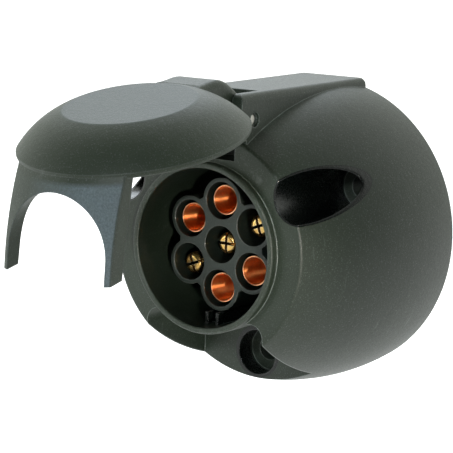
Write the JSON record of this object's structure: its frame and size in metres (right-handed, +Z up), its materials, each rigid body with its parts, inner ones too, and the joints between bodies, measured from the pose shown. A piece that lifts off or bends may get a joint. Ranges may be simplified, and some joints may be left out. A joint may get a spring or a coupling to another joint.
{
  "type": "trailer wiring socket",
  "caption": "Round trailer wiring socket with a hinged, sprung lid standing open, showing pin and sleeve contacts in a round mouth of a domed body.",
  "frame": {"origin": "on the mouth's axis, in the plane of the mounting face (centre of the three mounting holes)", "axes": "the mouth faces -Y, +Z is up towards the lid's hinge, +X is right as seen by somebody looking into the mouth"},
  "size_m": [0.0714, 0.0998, 0.0737],
  "materials": {
    "housing_plastic": "fine spark-eroded black nylon",
    "lid_plastic": "fine spark-eroded black nylon",
    "carrier_plastic": "smooth black nylon",
    "rubber_black": "soft black rubber",
    "copper_sleeve": "turned, copper-coloured",
    "brass_pin": "turned yellow brass",
    "steel_screw": "zinc-plated",
    "steel_pin": "drawn steel",
    "spring_wire": "drawn spring wire"
  },
  "bodies": {
    "housing": {"housing": "housing_plastic", "contact_carrier": "carrier_plastic", "contact_retainer": "carrier_plastic", "carrier_gasket": "rubber_black", "rear_seal": "rubber_black", "cable_grommet": "rubber_black", "sleeve_contact_top": "copper_sleeve", "sleeve_contact_upper_left": "copper_sleeve", "sleeve_contact_bottom": "copper_sleeve", "sleeve_contact_lower_right": "copper_sleeve", "pin_contact_centre": "brass_pin", "pin_contact_upper_right": "brass_pin", "pin_contact_lower_left": "brass_pin", "terminal_screws": "steel_screw", "carrier_screws": "steel_screw", "hinge_pin": "steel_pin", "lid_spring": "spring_wire"},
    "lid": {"lid": "lid_plastic", "lid_seal": "rubber_black"}
  },
  "joints": [
    {"name": "lid_hinge", "type": "hinge", "parent": "housing", "child": "lid", "pos_m": [0, -0.0451, 0.0292], "axis": [1, 0, 0], "range_deg": [0, 76.7], "stiffness_Nm_per_rad": 0.03, "springref_deg": 108.86, "deforming": ["lid_spring"]}
  ]
}
